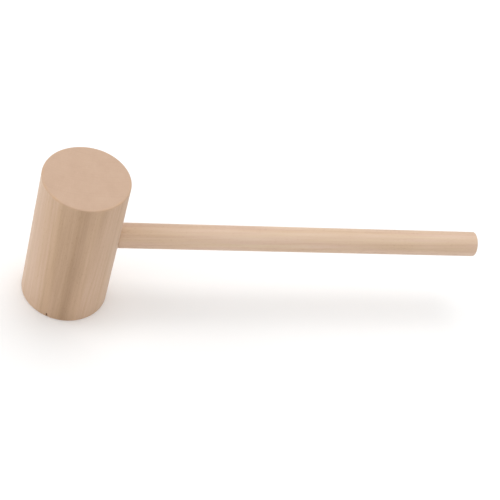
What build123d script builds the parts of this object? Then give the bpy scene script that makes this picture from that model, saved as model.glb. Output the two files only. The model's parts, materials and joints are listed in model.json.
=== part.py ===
"""Carving mallet: a turned beech head on a plain dowel handle.

The handle's end is a tenon, glued into a blind socket drilled into the side of the head. The head's
axis is Z and the handle runs along X to its grip end. The origin is the centre of the lower striking
face, and every length is in millimetres.
"""

import os

from build123d import *

# Head: a plain turned cylinder whose two end-grain faces do the striking.
head_diameter = 54.0
head_length = 100.0
face_edge_radius = 0.8  # sanded rim of each striking face

# Handle: a straight dowel, with its end turned down to a tenon.
handle_diameter = 16.0
handle_height = 51.0  # the handle's axis above the lower striking face
handle_reach = 265.0  # from the head's axis to the grip end
grip_edge_radius = 0.8  # sanded rim of the grip end
tenon_chamfer = 1.2  # lead-in at the end of the tenon
shoulder_clearance = 0.3  # the shoulder stands this far off the head's surface

# Joint: the socket is drilled with a bit of the dowel's own diameter, and the film of glue takes up
# what the tenon was turned down by, so that no gap shows where the handle enters the head.
socket_depth = 40.0  # from the head's surface to the socket's flat floor
spur_diameter = 3.0  # pit that the drill's centre spur leaves in the floor
spur_tip_diameter = 0.4
spur_depth = 1.5
glue_film = 0.2  # all round the tenon
glue_pool = 1.0  # surplus glue between the tenon's end and the floor
glue_setback = 0.5  # the wiped edge of the film lies this far under the head's surface

# Places along the handle's axis, all from the sizes above.
head_radius = head_diameter / 2
socket_radius = handle_diameter / 2
tenon_radius = socket_radius - glue_film
socket_floor = head_radius - socket_depth
tenon_end = socket_floor + glue_pool
shoulder = head_radius + shoulder_clearance


def across_handle(distance):
    """The plane square to the handle's axis, at this distance from the head's axis."""
    return Plane(origin=(distance, 0, handle_height), x_dir=(0, 1, 0), z_dir=(1, 0, 0))


# What the drill takes out: the socket, carried on past the head's surface, and the spur's pit behind it.
with BuildPart() as drilled_space:
    with BuildSketch(across_handle(socket_floor)):
        Circle(socket_radius)
    extrude(amount=socket_depth + head_radius)
    with BuildSketch(across_handle(socket_floor)):
        Circle(spur_diameter / 2)
    with BuildSketch(across_handle(socket_floor - spur_depth)):
        Circle(spur_tip_diameter / 2)
    loft()

with BuildPart() as head:
    with BuildSketch(Plane.XY):
        Circle(head_radius)
    extrude(amount=head_length)
    fillet(head.edges().filter_by(GeomType.CIRCLE), radius=face_edge_radius)
    add(drilled_space.part, mode=Mode.SUBTRACT)

with BuildPart() as handle:
    with BuildSketch(across_handle(tenon_end)):
        Circle(tenon_radius)
    extrude(amount=shoulder - tenon_end)
    chamfer(handle.edges().filter_by(GeomType.CIRCLE).sort_by(Axis.X)[0], length=tenon_chamfer)
    with BuildSketch(across_handle(shoulder)):
        Circle(handle_diameter / 2)
    extrude(amount=handle_reach - shoulder)
    fillet(handle.edges().filter_by(GeomType.CIRCLE).sort_by(Axis.X)[-1], radius=grip_edge_radius)

# The glue is whatever of the drilled space the tenon leaves, wiped off under the head's surface.
with BuildPart() as glue_line:
    with BuildSketch(Plane.XY):
        Circle(head_radius - glue_setback)
    extrude(amount=head_length)
    add(drilled_space.part, mode=Mode.INTERSECT)
    add(handle.part, mode=Mode.SUBTRACT)

head.part.label = "head"
handle.part.label = "handle"
glue_line.part.label = "glue_line"

os.makedirs("parts", exist_ok=True)
export_step(head.part, "parts/head.step")
export_step(handle.part, "parts/handle.step")
export_step(glue_line.part, "parts/glue_line.step")
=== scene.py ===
"""Looks of the carving mallet: a turned beech head, a beech dowel handle and the glue that joins them.

Every length is in metres and in the CAD model's frame: the head's axis is Z, the handle runs along X.
"""

import json
import math

import bmesh
import bpy
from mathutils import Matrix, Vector


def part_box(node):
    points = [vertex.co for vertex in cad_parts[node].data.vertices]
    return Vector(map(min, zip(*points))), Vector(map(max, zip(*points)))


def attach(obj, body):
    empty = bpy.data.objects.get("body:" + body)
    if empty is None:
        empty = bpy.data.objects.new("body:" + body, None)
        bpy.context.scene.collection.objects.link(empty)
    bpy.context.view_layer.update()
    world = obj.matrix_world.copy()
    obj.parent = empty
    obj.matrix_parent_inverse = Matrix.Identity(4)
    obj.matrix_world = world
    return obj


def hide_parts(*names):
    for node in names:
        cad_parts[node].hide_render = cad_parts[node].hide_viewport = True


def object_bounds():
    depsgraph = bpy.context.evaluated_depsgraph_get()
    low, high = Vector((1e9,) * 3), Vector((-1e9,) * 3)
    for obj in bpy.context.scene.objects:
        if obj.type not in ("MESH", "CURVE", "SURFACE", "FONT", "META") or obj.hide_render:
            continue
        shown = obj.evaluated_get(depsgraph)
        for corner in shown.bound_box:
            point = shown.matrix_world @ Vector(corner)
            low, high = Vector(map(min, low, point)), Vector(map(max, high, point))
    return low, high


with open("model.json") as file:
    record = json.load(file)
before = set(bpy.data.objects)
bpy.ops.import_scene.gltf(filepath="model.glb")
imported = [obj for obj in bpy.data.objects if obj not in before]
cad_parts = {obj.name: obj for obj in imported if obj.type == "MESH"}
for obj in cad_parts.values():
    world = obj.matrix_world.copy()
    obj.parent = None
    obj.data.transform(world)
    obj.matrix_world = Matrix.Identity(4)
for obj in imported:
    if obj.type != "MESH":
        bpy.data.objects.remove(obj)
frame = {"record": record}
cad_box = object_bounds()

MM = 0.001
NEAR = 0.01 * MM  # how far apart two places may be and still be the same place

# The sizes that the CAD model gives.
head_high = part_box("head")[1]
handle_low, handle_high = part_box("handle")
shaft = next(m for m in frame["record"]["mounts"] if m["name"] == "handle_shaft")
head_radius = head_high.x
head_length = head_high.z
handle_radius = shaft["dims"]["r_mm"] * MM
handle_height = shaft["pos_m"][2]
grip_end = handle_high.x
tenon_end = handle_low.x
spur_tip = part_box("glue_line")[0].x

# The small sizes, which the boxes don't give.
glue_film = 0.2 * MM  # all round the tenon
glue_pool = 1.0 * MM  # the surplus under the tenon's end
grip_edge = 0.8 * MM  # the sanded edge of the grip end
mouth_easing = 0.35 * MM  # the sanded edge of the socket's mouth
rim_easing = 1.0 * MM  # the sanded rims of the head, at their widest
spur_radius = 1.5 * MM
spur_tip_radius = 0.2 * MM
tenon_chamfer = 1.2 * MM
tenon_taper = 1.6 * MM  # from the handle's full thickness down to the tenon
shoulder = grip_end - grip_edge - shaft["dims"]["length_mm"] * MM
socket_radius = handle_radius
socket_floor = tenon_end - glue_pool
tenon_radius = handle_radius - glue_film

# How closely the round shapes are divided, round and along.
HEAD_SIDES = 184
HEAD_RINGS = 75
HANDLE_SIDES = 96
HANDLE_RINGS = 110


# ---------------------------------------------------------------- modelling


def pick(kind, test):
    """In edit mode, selects only the vertices, edges or faces whose corners pass the test."""
    bpy.ops.mesh.select_mode(type=kind)
    bpy.ops.mesh.select_all(action="DESELECT")
    mesh = bmesh.from_edit_mesh(bpy.context.object.data)
    for item in {"VERT": mesh.verts, "EDGE": mesh.edges, "FACE": mesh.faces}[kind]:
        corners = [item.co] if kind == "VERT" else [v.co for v in item.verts]
        if test(corners):
            item.select_set(True)
    mesh.select_flush_mode()
    bmesh.update_edit_mesh(bpy.context.object.data)


def begin(name, primitive, **place):
    """Adds a primitive with its place in its mesh, and opens it in edit mode with nothing selected."""
    bpy.ops.object.select_all(action="DESELECT")
    primitive(**place)
    piece = bpy.context.object
    piece.name = piece.data.name = name
    bpy.ops.object.transform_apply(location=True, rotation=True, scale=True)
    bpy.ops.object.mode_set(mode="EDIT")
    bpy.ops.mesh.select_all(action="DESELECT")
    return piece


def close():
    """Leaves edit mode, with the faces pointing outwards."""
    bpy.ops.mesh.select_all(action="SELECT")
    bpy.ops.mesh.normals_make_consistent(inside=False)
    bpy.ops.object.mode_set(mode="OBJECT")


def apply(piece, kind, **settings):
    """Adds a modifier with its settings and applies it."""
    bpy.ops.object.select_all(action="DESELECT")
    piece.select_set(True)
    bpy.context.view_layer.objects.active = piece
    modifier = piece.modifiers.new(kind.lower(), kind)
    for name, value in settings.items():
        setattr(modifier, name, value)
    bpy.ops.object.modifier_apply(modifier=modifier.name)


def take_out(piece, cutter):
    """Cuts one solid out of a piece, and removes the cutter."""
    apply(piece, "BOOLEAN", operation="DIFFERENCE", solver="EXACT", object=cutter)
    bpy.data.objects.remove(cutter)


def lay_on_head(piece, head, distance, radius, offset):
    """Moves a ring of a tube round the handle's axis onto the head's side, and then offset along X."""
    bpy.ops.object.mode_set(mode="EDIT")
    pick("VERT", lambda points: (
        abs(points[0].x - distance) < NEAR and abs(off_handle_axis(points[0]) - radius) < NEAR
    ))
    bpy.ops.object.vertex_group_assign_new()
    bpy.ops.object.mode_set(mode="OBJECT")
    apply(
        piece, "SHRINKWRAP", target=head, vertex_group=piece.vertex_groups[0].name,
        wrap_method="PROJECT", use_project_x=True, use_negative_direction=True,
        use_positive_direction=False,
    )
    piece.vertex_groups.clear()
    bpy.ops.object.mode_set(mode="EDIT")
    bpy.ops.transform.translate(value=(offset, 0, 0))
    bpy.ops.object.mode_set(mode="OBJECT")


def off_handle_axis(point):
    """How far a point is from the handle's axis."""
    return math.hypot(point.y, point.z - handle_height)


def uneven(name, grain):
    """A cloudy texture for hand-worked surfaces, with hollows of this size."""
    clouds = bpy.data.textures.new(name, "CLOUDS")
    clouds.noise_scale = grain
    clouds.noise_depth = 1
    return clouds


def grow(distance, radius, new_radius):
    """Extrudes the selection along X by a distance and brings its radius to a new one."""
    bpy.ops.mesh.extrude_region_move(TRANSFORM_OT_translate={"value": (distance, 0, 0)})
    factor = new_radius / radius
    bpy.ops.transform.resize(value=(1, factor, factor), center_override=(0, 0, handle_height))


def turned_head():
    """The head: a cylinder off the lathe, with rims eased by hand and faces a little short of flat."""
    piece = begin(
        "head_turned", bpy.ops.mesh.primitive_cylinder_add, vertices=HEAD_SIDES, radius=head_radius,
        depth=head_length, location=(0, 0, head_length / 2), end_fill_type="NGON",
    )
    pick("EDGE", lambda ends: abs(ends[0].z - ends[1].z) > head_length / 2)
    bpy.ops.mesh.subdivide(number_cuts=HEAD_RINGS)
    bpy.ops.object.mode_set(mode="OBJECT")
    ease_rims(piece)
    bpy.ops.object.mode_set(mode="EDIT")
    for level in (0.0, head_length):
        pick("FACE", lambda corners: len(corners) > 8 and abs(corners[0].z - level) < NEAR)
        bpy.ops.mesh.inset(thickness=0.6 * MM, use_even_offset=True)
        bpy.ops.mesh.delete(type="ONLY_FACE")
        bpy.ops.mesh.select_mode(type="EDGE")
        bpy.ops.mesh.select_non_manifold()
        bpy.ops.mesh.fill_grid(span=HEAD_SIDES // 4)
    close()
    apply(piece, "DISPLACE", texture=uneven("lathe", 22 * MM), strength=0.14 * MM, mid_level=0.5)
    return piece


def ease_rims(piece):
    """Rounds both rims with a radius that wanders round the head, as sandpaper held by hand leaves it."""
    weights = piece.data.attributes.new("bevel_weight_edge", "FLOAT", "EDGE")
    for edge in piece.data.edges:
        a, b = (piece.data.vertices[i].co for i in edge.vertices)
        on_rim = abs(a.z - b.z) < NEAR and not NEAR < a.z < head_length - NEAR
        bearing = math.atan2(a.y + b.y, a.x + b.x)
        wander = 0.12 * math.sin(2 * bearing + 1) + 0.08 * math.sin(5 * bearing + a.z / MM)
        weights.data[edge.index].value = 0.8 + wander if on_rim else 0.0
    apply(
        piece, "BEVEL", width=rim_easing, segments=5, limit_method="WEIGHT", affect="EDGES",
        use_clamp_overlap=False,
    )


def bored_space(name):
    """The floor of the drilled hole with the pit of the drill's spur, open for its wall to be grown."""
    piece = begin(
        name, bpy.ops.mesh.primitive_circle_add, vertices=HANDLE_SIDES, radius=socket_radius,
        fill_type="NGON", location=(socket_floor, 0, handle_height), rotation=(0, math.pi / 2, 0),
    )
    pick("FACE", lambda corners: True)
    bpy.ops.mesh.inset(thickness=socket_radius - spur_radius)
    grow(spur_tip - socket_floor, spur_radius, spur_tip_radius)
    pick("EDGE", lambda ends: all(abs(off_handle_axis(p) - socket_radius) < NEAR for p in ends))
    return piece


def drill(head):
    """The space that the drill takes out of the head, with the eased edge that follows the head's side.

    Its two mouth rings start clear of the head, and are then laid on it.
    """
    piece = bored_space("socket")
    wide = socket_radius + 2 * mouth_easing
    inner_ring, outer_ring, open_end = (head_radius + clear * MM for clear in (3, 5, 7))
    grow(inner_ring - socket_floor, socket_radius, socket_radius)
    grow(outer_ring - inner_ring, socket_radius, wide)
    grow(open_end - outer_ring, wide, wide)
    bpy.ops.mesh.edge_face_add()
    close()
    lay_on_head(piece, head, inner_ring, socket_radius, -mouth_easing)
    lay_on_head(piece, head, outer_ring, wide, mouth_easing)
    return piece


def squeezed_glue(head):
    """The glue: a film round the tenon, the surplus under it, and the thin bead wiped off at the mouth.

    The bead's rings start clear of the head, at the radius and the height over its side that each has in
    the end, from under the eased mouth, out over the head and back in to the handle.
    """
    piece = bored_space("glue_film_and_bead")
    bead = [
        (head_radius + clear * MM, socket_radius + out * MM, height * MM)
        for clear, out, height in ((3, 0, -0.5), (5, 0.5, 0.02), (7, 0.2, 0.16), (9, -0.02, 0.55))
    ]
    tenon = (
        (shoulder - tenon_taper, tenon_radius),
        (tenon_end + tenon_chamfer, tenon_radius),
        (tenon_end, tenon_radius - tenon_chamfer),
    )
    here, radius = socket_floor, socket_radius
    for place, new_radius in (*(ring[:2] for ring in bead), *tenon):
        grow(place - here, radius, new_radius)
        here, radius = place, new_radius
    bpy.ops.mesh.edge_face_add()
    close()
    for place, ring_radius, height in bead:
        lay_on_head(piece, head, place, ring_radius, height)
    bpy.ops.object.mode_set(mode="EDIT")
    pick("VERT", lambda points: off_handle_axis(points[0]) > socket_radius + 0.1 * MM)
    bpy.ops.object.vertex_group_assign_new()
    bpy.ops.object.mode_set(mode="OBJECT")
    apply(
        piece, "DISPLACE", texture=uneven("wiping", 3 * MM), strength=0.35 * MM, mid_level=0.5,
        vertex_group=piece.vertex_groups[0].name,
    )
    piece.vertex_groups.clear()
    return piece


def chip():
    """The splinter that has come out of the lower rim: a flat, ragged sliver."""
    bearing = math.radians(-119.5)
    piece = begin(
        "chip", bpy.ops.mesh.primitive_ico_sphere_add, subdivisions=3, radius=1.0 * MM,
        location=(head_radius * math.cos(bearing), head_radius * math.sin(bearing), 1.3 * MM),
        rotation=(0.15, 0.0, bearing), scale=(0.8, 0.65, 2.0),
    )
    bpy.ops.mesh.select_all(action="SELECT")
    bpy.ops.transform.vertex_random(offset=0.13 * MM, seed=4)
    close()
    return piece


def dowel_handle():
    """The handle: a straight dowel, sanded round at the grip end and turned down to a tenon at the other."""
    length = grip_end - shoulder
    piece = begin(
        "handle_dowel", bpy.ops.mesh.primitive_cylinder_add, vertices=HANDLE_SIDES,
        radius=handle_radius, depth=length, end_fill_type="NGON",
        location=(shoulder + length / 2, 0, handle_height), rotation=(0, math.pi / 2, 0),
    )
    pick("EDGE", lambda ends: abs(ends[0].x - ends[1].x) > length / 2)
    bpy.ops.mesh.subdivide(number_cuts=HANDLE_RINGS)
    pick("EDGE", lambda ends: all(abs(p.x - grip_end) < NEAR for p in ends))
    bpy.ops.mesh.bevel(offset=grip_edge, segments=6, profile=0.5)
    pick("FACE", lambda corners: all(abs(p.x - grip_end) < NEAR for p in corners))
    for ring in (0.5, 1.5, 2.0, 2.0):
        bpy.ops.mesh.inset(thickness=ring * MM)
    pick("FACE", lambda corners: all(abs(p.x - shoulder) < NEAR for p in corners))
    grow(-tenon_taper, handle_radius, tenon_radius)
    grow(tenon_end + tenon_chamfer - (shoulder - tenon_taper), tenon_radius, tenon_radius)
    grow(-tenon_chamfer, tenon_radius, tenon_radius - tenon_chamfer)
    close()
    return piece


def finish_piece(piece, node, material):
    """Smooths a piece's shading, gives it its material, hangs it under the root body and hides the CAD part
    it stands for.
    """
    bpy.ops.object.select_all(action="DESELECT")
    piece.select_set(True)
    bpy.context.view_layer.objects.active = piece
    bpy.ops.object.shade_smooth_by_angle(angle=math.radians(35))
    piece.data.materials.clear()
    piece.data.materials.append(material)
    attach(piece, "root")
    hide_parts(node)


# ---------------------------------------------------------------- materials


def colour(code):
    """An sRGB hex colour as the linear colour that a shader takes."""
    channels = [int(code[i:i + 2], 16) / 255 for i in (1, 3, 5)]
    linear = [c / 12.92 if c <= 0.04045 else ((c + 0.055) / 1.055) ** 2.4 for c in channels]
    return (*linear, 1.0)


def add(tree, kind, inputs=(), stops=(), **settings):
    """Adds a node with its settings, its links and a ramp's stops.

    An input gets a number, a vector, a hex colour, an output, or a node's first output.
    """
    node = tree.nodes.new(kind)
    for name, value in settings.items():
        setattr(node, name, value)
    for socket, value in dict(inputs).items():
        if isinstance(value, bpy.types.Node):
            value = value.outputs[0]
        if isinstance(value, bpy.types.NodeSocket):
            tree.links.new(value, node.inputs[socket])
        else:
            node.inputs[socket].default_value = colour(value) if isinstance(value, str) else value
    for index, (position, tone) in enumerate(stops):
        elements = node.color_ramp.elements
        element = elements[index] if index < 2 else elements.new(position)
        element.position = position
        element.color = colour(tone) if isinstance(tone, str) else (tone, tone, tone, 1)
    return node


def new_material(name):
    """An empty material with its shader and output."""
    material = bpy.data.materials.new(name)
    material.use_nodes = True
    tree = material.node_tree
    tree.nodes.clear()
    shader = add(tree, "ShaderNodeBsdfPrincipled")
    add(tree, "ShaderNodeOutputMaterial", {"Surface": shader})
    return material, tree, shader


def weighed(tree, start, parts):
    """A start value plus each part's distance from its own middle, times its share."""
    total = start
    for value, middle_value, share in parts:
        offset = add(tree, "ShaderNodeMath", {0: value, 1: middle_value}, operation="SUBTRACT")
        total = add(
            tree, "ShaderNodeMath", {0: offset, 1: share, 2: total}, operation="MULTIPLY_ADD"
        )
    return total


def growth_rings(tree, radius, width):
    """How dark the late wood is at a distance in millimetres from the tree's centre.

    Each ring darkens slowly towards its outer edge and then breaks off, and no two years are the same.
    """
    weather = add(
        tree, "ShaderNodeTexNoise", {"W": radius, "Scale": 1 / 7.0, "Detail": 1.0},
        noise_dimensions="1D",
    )
    uneven_years = add(
        tree, "ShaderNodeMath", {0: weather, 1: 4.0, 2: radius}, operation="MULTIPLY_ADD"
    )
    age = add(tree, "ShaderNodeMath", {0: uneven_years, 1: width}, operation="DIVIDE")
    within = add(tree, "ShaderNodeMath", {0: age}, operation="FRACT")
    late = add(
        tree, "ShaderNodeValToRGB", {"Fac": within},
        stops=((0.0, 0.35), (0.12, 0.0), (0.45, 0.15), (0.86, 1.0), (1.0, 0.35)),
    )
    year = add(tree, "ShaderNodeMath", {0: age}, operation="FLOOR")
    chance = add(tree, "ShaderNodeTexWhiteNoise", {"W": year}, noise_dimensions="1D")
    strength = add(
        tree, "ShaderNodeMapRange",
        {"Value": chance.outputs["Value"], "From Min": -0.6, "From Max": 1.0},
        interpolation_type="SMOOTHSTEP",
    )
    return add(tree, "ShaderNodeMath", {0: late, 1: strength}, operation="MULTIPLY")


def ray_flecks(tree, bent, radius, reach):
    """The rays: thin sheets, about 2.5 mm tall, that run out from the tree's centre.

    They show as short brown dashes where the surface lies along the rings, as wider flecks where it
    cuts them, and as fine lines in the end grain. A real one is 0.2 mm thick. These are 0.5 mm, to show.
    """
    part = add(tree, "ShaderNodeSeparateXYZ", {0: bent})
    bearing = add(
        tree, "ShaderNodeMath", {0: part.outputs["Y"], 1: part.outputs["X"]}, operation="ARCTAN2"
    )
    arc = add(tree, "ShaderNodeMath", {0: bearing, 1: reach}, operation="MULTIPLY")
    sheet = add(tree, "ShaderNodeCombineXYZ", {"X": radius, "Y": arc, "Z": part.outputs["Z"]})
    squeezed = add(
        tree, "ShaderNodeMapping", {"Vector": sheet, "Scale": (1 / 8.0, 1 / 0.5, 1 / 2.5)}
    )
    chance = add(tree, "ShaderNodeTexNoise", {"Vector": squeezed, "Scale": 1.0, "Detail": 0.0})
    return add(
        tree, "ShaderNodeMapRange", {"Value": chance, "From Min": 0.62, "From Max": 0.74},
        interpolation_type="SMOOTHSTEP",
    )


def beech(name, wood):
    """Beech, brought round on a lathe or a dowel machine, then sanded, with no finish on it.

    It gives the eye a pale ground that drifts between cream and pink, soft darker lines where the
    growth rings meet the surface, long streaks, some of which are painted shade and painted light, the
    small brown flecks of its rays, a paler end grain with the rings as arcs, partly painted sheen, a
    patchy painted highlight along the rims, a chip painted darker, partly as painted shade, and a dull,
    slightly fibrous surface.
    All of wood's lengths are in millimetres. Each of its streaks gives the way across it, how far along
    that its middle is, half its width, and how much darker it is, or lighter where that is below zero.
    """
    material, tree, shader = new_material(name)
    place = add(tree, "ShaderNodeTexCoord").outputs["Object"]
    # The piece's own axis on Z, and from there the tree's centre line on Z.
    own = add(
        tree, "ShaderNodeMapping",
        {
            "Vector": place, "Rotation": wood["axis_turn"], "Location": wood["axis_shift"],
            "Scale": (1 / MM, 1 / MM, 1 / MM),
        },
    )
    grain = add(
        tree, "ShaderNodeMapping",
        {"Vector": own, "Rotation": wood["pith_turn"], "Location": wood["pith_shift"]},
    )
    # The grain wanders by a few millimetres, slowly along the tree and faster across it.
    gentle = add(tree, "ShaderNodeMapping", {"Vector": grain, "Scale": (1 / 45, 1 / 45, 1 / 300)})
    wander = add(tree, "ShaderNodeTexNoise", {"Vector": gentle, "Scale": 1.0, "Detail": 1.0})
    centred = add(
        tree, "ShaderNodeVectorMath", {0: wander.outputs["Color"], 1: (0.5, 0.5, 0.5)},
        operation="SUBTRACT",
    )
    bent = add(
        tree, "ShaderNodeVectorMath", {0: centred, 1: (6.0, 6.0, 0.0), 2: grain},
        operation="MULTIPLY_ADD",
    )
    across = add(
        tree, "ShaderNodeVectorMath", {0: bent, 1: (1.0, 1.0, 0.0)}, operation="MULTIPLY"
    )
    radius = add(tree, "ShaderNodeVectorMath", {0: across}, operation="LENGTH").outputs["Value"]
    rings = growth_rings(tree, radius, wood["ring_width"])
    flecks = ray_flecks(tree, bent, radius, wood["reach"])

    # The other patterns, with how wide each is along X, Y and Z. Real fibre bundles are 0.2 mm wide,
    # real pores 0.08 mm and the scratches of grit 180 0.08 mm apart. They are drawn coarser, to show.
    clouds = {}
    for pattern, coordinates, sizes, detail in (
        ("bands", bent, wood["band_size"], 2.0),
        ("pinkness", bent, wood["tint_size"], 2.0),
        ("blotches", grain, (16.0, 16.0, 60.0), 2.0),
        ("fibres", grain, (0.8, 0.8, 40.0), 2.0),
        ("pores", grain, (0.5, 0.5, 12.0), 1.0),
        ("scratches", own, (14.0, 14.0, 0.35), 1.0),
        ("rim_highlight_cloud", own, (6.0, 6.0, 6.0), 2.0),
    ):
        squeezed = add(
            tree, "ShaderNodeMapping",
            {"Vector": coordinates, "Scale": [1 / size for size in sizes]},
        )
        clouds[pattern] = add(
            tree, "ShaderNodeTexNoise", {"Vector": squeezed, "Scale": 1.0, "Detail": detail}
        )

    # How far a point is from the nearer end and from the side, and so where the end grain, the rims
    # and the torn fibres of the chip are.
    part = add(tree, "ShaderNodeSeparateXYZ", {0: own})
    from_ends = []
    for end in wood["ends"]:
        beyond = add(tree, "ShaderNodeMath", {0: part.outputs["Z"], 1: end}, operation="SUBTRACT")
        from_ends.append(add(tree, "ShaderNodeMath", {0: beyond}, operation="ABSOLUTE"))
    to_end = add(
        tree, "ShaderNodeMath", {0: from_ends[0], 1: from_ends[1]}, operation="MINIMUM"
    )
    flat = add(tree, "ShaderNodeVectorMath", {0: own, 1: (1.0, 1.0, 0.0)}, operation="MULTIPLY")
    off_axis = add(tree, "ShaderNodeVectorMath", {0: flat}, operation="LENGTH").outputs["Value"]
    to_side = add(
        tree, "ShaderNodeMath", {0: wood["radius"], 1: off_axis}, operation="SUBTRACT"
    )
    to_rim = add(tree, "ShaderNodeMath", {0: to_end, 1: to_side}, operation="MAXIMUM")
    masks = {}
    for mask, value, none_at, full_at in (
        ("end_grain", to_end, 0.75, 0.15),
        ("rim", to_rim, 2.0, 0.5),
        ("under_side", to_side, 0.15, 0.4),
        ("above_end", to_end, 0.15, 0.45),
        ("pink", clouds["pinkness"], 0.3, 0.7),
        ("rim_highlight_patches", clouds["rim_highlight_cloud"], 0.2, 1.1),
    ):
        masks[mask] = add(
            tree, "ShaderNodeMapRange", {"Value": value, "From Min": none_at, "From Max": full_at},
            interpolation_type="SMOOTHSTEP",
        )
    # The painted highlight along the eased rims, lighter and warmer in patches.
    patchy_rim_highlight = add(
        tree, "ShaderNodeMath", {0: masks["rim"], 1: masks["rim_highlight_patches"]}, operation="MULTIPLY"
    )
    # The chip's hollow, painted darker: partly the torn fibres' tone, partly painted shade.
    torn_and_shaded_chip = add(
        tree, "ShaderNodeMath", {0: masks["under_side"], 1: masks["above_end"]},
        operation="MULTIPLY",
    )

    # The side's tone, from pale and pink to dark and brown, with the broad streaks that this piece has.
    # Some of the streaks are partly or wholly painted shade and painted light, as each piece's list says.
    parts = [
        (rings, 0.3, wood["rings"]), (clouds["bands"], 0.5, wood["bands"]),
        (clouds["fibres"], 0.5, wood["fibres"]), (clouds["blotches"], 0.5, wood["blotches"]),
        (flecks, 0.1, wood["flecks"]),
    ]
    for facing, middle_at, half_width, share in wood["streaks"]:
        along_facing = add(
            tree, "ShaderNodeVectorMath", {0: bent, 1: facing}, operation="DOT_PRODUCT"
        ).outputs["Value"]
        from_middle = add(
            tree, "ShaderNodeMath", {0: along_facing, 1: middle_at}, operation="SUBTRACT"
        )
        beside = add(tree, "ShaderNodeMath", {0: from_middle}, operation="ABSOLUTE")
        streak = add(
            tree, "ShaderNodeMapRange", {"Value": beside, "From Min": half_width, "From Max": 0.0},
            interpolation_type="SMOOTHSTEP",
        )
        parts.append((streak, 0.0, share))
    tone = weighed(tree, 0.5, parts)
    creamy, pinkish = (
        add(tree, "ShaderNodeValToRGB", {"Fac": tone}, stops=zip((0.0, 0.5, 1.0), wood[tones]))
        for tones in ("cream", "pink")
    )
    side = add(
        tree, "ShaderNodeMix", {0: masks["pink"], 6: creamy, 7: pinkish}, data_type="RGBA"
    ).outputs[2]

    # The end grain's tone has less play, because the ends soak up light evenly. Its colours are paler and
    # greyer than the side's, partly sanding dust and partly painted sheen.
    end_tone = weighed(tree, 0.5, (
        (rings, 0.3, 0.6 * wood["rings"]), (clouds["bands"], 0.5, 0.22),
        (clouds["blotches"], 0.5, 0.3), (clouds["pores"], 0.5, 0.2), (flecks, 0.1, -0.06),
    ))
    end = add(
        tree, "ShaderNodeValToRGB", {"Fac": end_tone}, stops=zip((0.0, 0.5, 1.0), wood["end"])
    )
    # Over the side go the end grain (paler, partly painted sheen), the patchy painted highlight on the rims
    # and the chip painted darker, partly as painted shade.
    tint = side
    for share, over in (
        (masks["end_grain"], end), (patchy_rim_highlight, wood["rim"]), (torn_and_shaded_chip, wood["torn_and_shaded_chip"]),
    ):
        tint = add(
            tree, "ShaderNodeMix", {0: share, 6: tint, 7: over}, data_type="RGBA"
        ).outputs[2]
    tree.links.new(tint, shader.inputs["Base Color"])

    # A dull surface, duller in the end grain. The fibres stand up a little after sanding.
    dull = weighed(tree, 0.56, (
        (masks["end_grain"], 0.0, 0.1), (clouds["fibres"], 0.5, 0.15), (rings, 0.3, -0.06),
        (clouds["blotches"], 0.5, 0.08),
    ))
    tree.links.new(dull.outputs[0], shader.inputs["Roughness"])
    height = weighed(tree, 0.0, (
        (clouds["fibres"], 0.5, 0.03), (clouds["scratches"], 0.5, 0.012),
        (clouds["pores"], 0.5, 0.012), (flecks, 0.0, -0.01),
    ))
    relief = add(tree, "ShaderNodeBump", {"Height": height, "Distance": MM, "Strength": 1.0})
    tree.links.new(relief.outputs["Normal"], shader.inputs["Normal"])
    shader.inputs["Specular IOR Level"].default_value = 0.5
    shader.inputs["Sheen Weight"].default_value = 0.15
    shader.inputs["Sheen Roughness"].default_value = 0.6
    return material


def wood_glue():
    """Cured white wood glue, wiped with a damp finger: a thin, smooth, pale amber bead with dust in it."""
    material, tree, shader = new_material("wood_glue_cured")
    place = add(tree, "ShaderNodeTexCoord").outputs["Object"]
    # Clots of sanding dust, about 1 mm across.
    dust = add(tree, "ShaderNodeTexNoise", {"Vector": place, "Scale": 1 / (1.1 * MM), "Detail": 3.0})
    tint = add(
        tree, "ShaderNodeValToRGB", {"Fac": dust}, stops=((0.3, "#AF8C6C"), (0.7, "#C9AA8A"))
    )
    tree.links.new(tint.outputs["Color"], shader.inputs["Base Color"])
    dull = weighed(tree, 0.38, ((dust, 0.5, 0.4),))
    tree.links.new(dull.outputs[0], shader.inputs["Roughness"])
    relief = add(tree, "ShaderNodeBump", {"Height": dust, "Distance": 0.03 * MM, "Strength": 1.0})
    tree.links.new(relief.outputs["Normal"], shader.inputs["Normal"])
    return material


def studio_paper():
    """Matt white background paper, with no shine."""
    material, tree, shader = new_material("studio_paper_matt")
    shader.inputs["Base Color"].default_value = colour("#FFFFFF")
    shader.inputs["Roughness"].default_value = 0.9
    shader.inputs["Specular IOR Level"].default_value = 0.0
    return material


# ---------------------------------------------------------------- the mallet

head = turned_head()
glue = squeezed_glue(head)
take_out(head, drill(head))
take_out(head, chip())
handle = dowel_handle()

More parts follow.
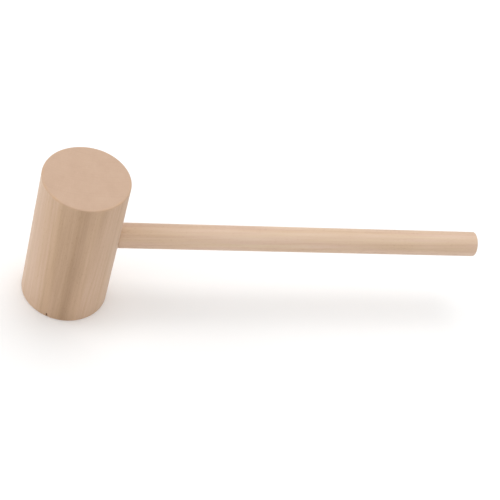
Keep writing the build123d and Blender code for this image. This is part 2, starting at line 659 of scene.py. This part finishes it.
# The head: the tree's centre lies 70 mm behind it. A brown streak runs down the middle of the front in a
# broad darker field, partly the wood's own streak and partly painted shade on the front that faces away
# from the side lights, with pale wood at its left, partly painted light where the left light falls, and
# the low end is a little paler. The rim colour is a painted highlight, the torn colour paints the chip's
# hollow darker, partly as painted shade, and the end colours are paler, partly as painted sheen.
head_wood = beech("beech_turned_and_sanded", dict(
    axis_turn=(0.0, 0.0, 0.0), axis_shift=(0.0, 0.0, 0.0),
    pith_turn=(0.012, -0.008, 0.0), pith_shift=(-12.2, -68.9, 0.0),
    ends=(0.0, head_length / MM), radius=head_radius / MM,
    cream=("#D9BCA3", "#C19F7E", "#937049"), pink=("#D9BCA8", "#C19F81", "#93704B"),
    end=("#CFB39A", "#C3A38A", "#B09078"), rim="#CBA682", torn_and_shaded_chip="#94704F",
    ring_width=2.0, reach=90.0, band_size=(4.0, 4.0, 260.0), tint_size=(9.0, 9.0, 200.0),
    rings=0.13, bands=0.28, fibres=0.19, blotches=0.2, flecks=0.07,
    streaks=(
        # Two darker streaks: partly the wood's own streak, partly painted shade on the front.
        ((1.0, 0.0, -0.03), -17.5, 7.5, 0.13),
        ((1.0, 0.0, -0.03), -24.0, 19.0, 0.11),
        # A lighter streak at the left edge: partly paler wood, partly painted light where the left light
        # falls.
        ((1.0, 0.0, 0.02), -39.0, 14.0, -0.12),
        ((0.0, 0.0, 1.0), 0.0, 80.0, -0.04),
    ),
))
# The handle: from a paler board, with the tree's centre 55 mm off, above and in front. It is darker next
# to the head, partly the wood's tone and partly painted shade where it meets the head, and darker along
# its underside as painted shade, and a light streak, partly the wood's own and partly a painted
# highlight, runs along its front, a little out of line. The rim colour is a painted highlight at the grip
# end, and the end colours are paler, partly as painted sheen.
handle_wood = beech("beech_dowel_planed_and_sanded", dict(
    axis_turn=(0.0, -math.pi / 2, 0.0), axis_shift=(handle_height / MM, 0.0, 0.0),
    pith_turn=(0.012, 0.02, 0.0), pith_shift=(38.0, 40.0, 0.0),
    ends=(tenon_end / MM, grip_end / MM), radius=handle_radius / MM,
    cream=("#E8D2B8", "#D4B698", "#AB8767"), pink=("#E8D0BD", "#D4B49C", "#AB856A"),
    end=("#D8BDA5", "#CBAC92", "#B3937A"), rim="#D8BB9B", torn_and_shaded_chip="#B89A7E",
    ring_width=2.2, reach=55.0, band_size=(3.0, 3.0, 90.0), tint_size=(3.5, 3.5, 60.0),
    rings=0.16, bands=0.45, fibres=0.22, blotches=0.3, flecks=0.08,
    streaks=(
        # Darker next to the head: partly the wood's tone, partly painted shade where the handle meets the
        # head.
        ((0.0, 0.0, 1.0), 15.0, 75.0, 0.19),
        # A light streak along the front: partly the wood's own, partly a painted highlight.
        ((0.0, 1.0, -0.004), 33.1, 5.0, -0.15),
        # Darker along the underside: painted shade.
        ((1.0, 0.0, -0.015), 43.0, 8.0, 0.12),
    ),
))
finish_piece(head, "head", head_wood)
finish_piece(handle, "handle", handle_wood)
finish_piece(glue, "glue_line", wood_glue())

# ---------------------------------------------------------------- the floor, the light and the camera

middle = (cad_box[0] + cad_box[1]) / 2


def paper_floor():
    """A large sheet of white paper that the mallet stands on."""
    bpy.ops.object.select_all(action="DESELECT")
    bpy.ops.mesh.primitive_plane_add(size=12.0, location=(0, 0, cad_box[0].z))
    floor = bpy.context.object
    floor.name = "floor"
    floor.data.materials.append(studio_paper())


def room_light(strength):
    """White light from all round, as a white studio gives it."""
    world = bpy.data.worlds.new("studio")
    bpy.context.scene.world = world
    world.use_nodes = True
    background = world.node_tree.nodes["Background"]
    background.inputs["Color"].default_value = colour("#FFFFFF")
    background.inputs["Strength"].default_value = strength


def softbox(name, direction, distance, size, power):
    """A large round soft light that shines on the mallet from a direction."""
    lamp = bpy.data.lights.new(name, "AREA")
    lamp.shape = "DISK"
    lamp.size = size
    lamp.energy = power
    holder = bpy.data.objects.new(name, lamp)
    bpy.context.scene.collection.objects.link(holder)
    toward = Vector(direction).normalized()
    holder.location = middle + toward * distance
    holder.rotation_mode = "QUATERNION"
    holder.rotation_quaternion = toward.to_track_quat("Z", "Y")


def camera(azimuth, elevation, roll, distance, aim, focal_length):
    """The view: azimuth from straight in front, elevation from level, then rolled about its own line."""
    lens = bpy.data.cameras.new("camera")
    lens.sensor_width = 36.0
    lens.lens = focal_length
    holder = bpy.data.objects.new("camera", lens)
    bpy.context.scene.collection.objects.link(holder)
    back = Vector((
        math.sin(azimuth) * math.cos(elevation),
        -math.cos(azimuth) * math.cos(elevation),
        math.sin(elevation),
    ))
    holder.location = aim + back * distance
    level = (-back).to_track_quat("-Z", "Y").to_matrix()
    rolled = level.copy()
    rolled.col[0] = level.col[0] * math.cos(roll) + level.col[1] * math.sin(roll)
    rolled.col[1] = level.col[1] * math.cos(roll) - level.col[0] * math.sin(roll)
    holder.rotation_mode = "QUATERNION"
    holder.rotation_quaternion = rolled.to_quaternion()
    bpy.context.scene.camera = holder


paper_floor()
room_light(strength=0.76)
softbox("left_softbox", (-1.0, 0.25, 0.55), distance=1.4, size=0.9, power=3.9)
softbox("right_softbox", (1.0, 0.1, 0.7), distance=1.4, size=0.9, power=1.0)
softbox("top_softbox", (0.1, 0.3, 1.0), distance=1.5, size=1.0, power=6.4)
camera(
    azimuth=math.radians(-23.1), elevation=math.radians(45.4), roll=math.radians(18.2),
    distance=0.9956, aim=middle + Vector((-0.014, -0.0216, 0.014)), focal_length=116.0,
)
bpy.context.scene.view_settings.view_transform = "Standard"
